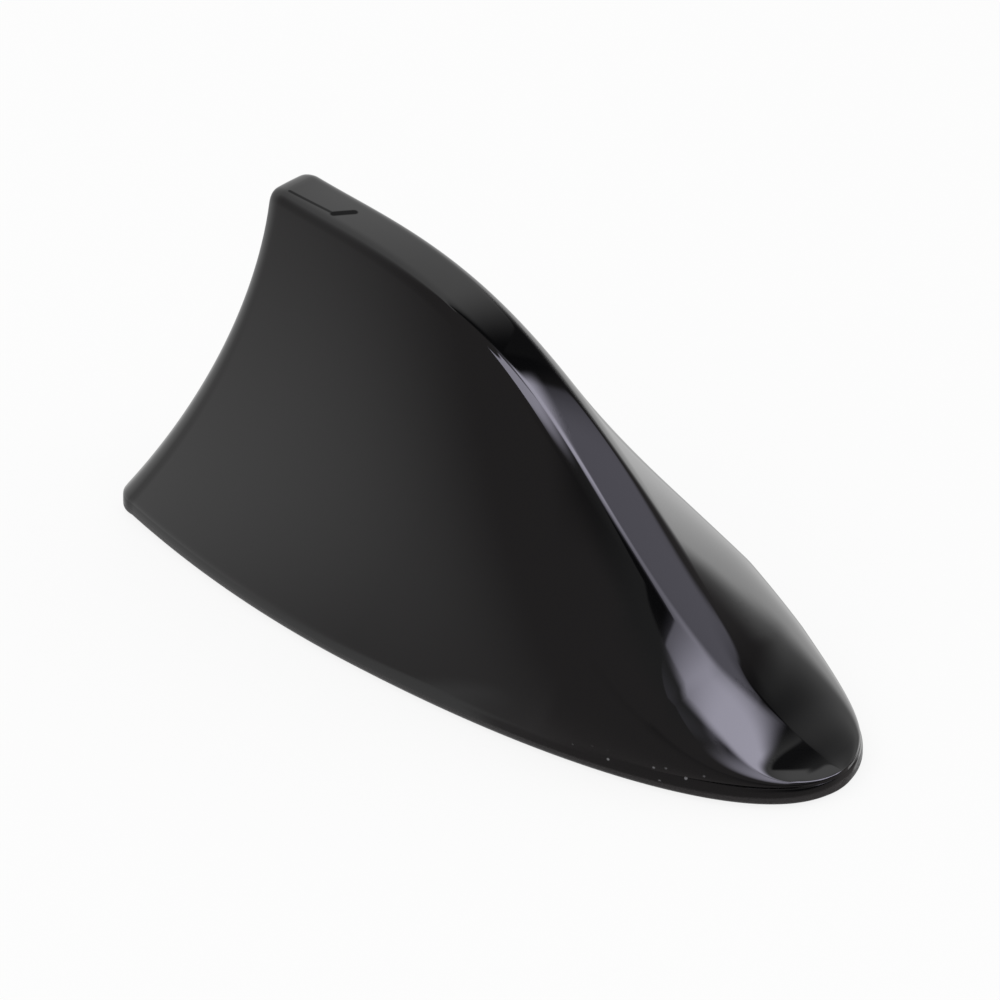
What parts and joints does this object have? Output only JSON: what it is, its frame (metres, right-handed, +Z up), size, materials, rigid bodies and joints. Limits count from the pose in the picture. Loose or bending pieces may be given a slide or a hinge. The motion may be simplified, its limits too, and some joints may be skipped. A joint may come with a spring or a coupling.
{
  "type": "shark fin aerial",
  "caption": "Gloss black shark fin roof aerial for a car, stick-on, with a sealed base plate, amplifier board and coil inside and a rubber lead entry below.",
  "frame": {"origin": "centre of the bounding box on the underside of the adhesive pad", "axes": "+X towards the nose of the fin, which points to the front of the car, +Y to the left side, +Z up from the roof"},
  "size_m": [0.155, 0.0582, 0.0709],
  "materials": {
    "gloss_black_abs": "polished",
    "matte_black_abs": "moulded",
    "black_rubber": "moulded",
    "grey_foam": "closed-cell foam",
    "zinc_steel": "zinc plated",
    "tinned_sheet": "tinned",
    "green_board": "solder mask",
    "copper_wire": "enamelled",
    "natural_plastic": "moulded",
    "blue_plastic": "moulded",
    "chip_epoxy": "moulded",
    "chip_ceramic": "fired",
    "capacitor_sleeve": "shrunk sleeve"
  },
  "bodies": {
    "root": {"fin_cover": "gloss_black_abs", "base_plate": "matte_black_abs", "cover_seal": "black_rubber", "adhesive_pad": "grey_foam", "lead_grommet": "black_rubber", "circuit_board": "green_board", "board_screws": "zinc_steel", "shield_can": "tinned_sheet", "amplifier_chip": "chip_epoxy", "inductors": "chip_epoxy", "chip_capacitors": "chip_ceramic", "electrolytic_capacitor": "capacitor_sleeve", "terminal_block": "blue_plastic", "terminal_screws": "zinc_steel", "coil_former": "natural_plastic", "former_screw": "zinc_steel", "antenna_coil": "copper_wire", "top_plate": "tinned_sheet", "damping_foam": "grey_foam"}
  },
  "joints": []
}
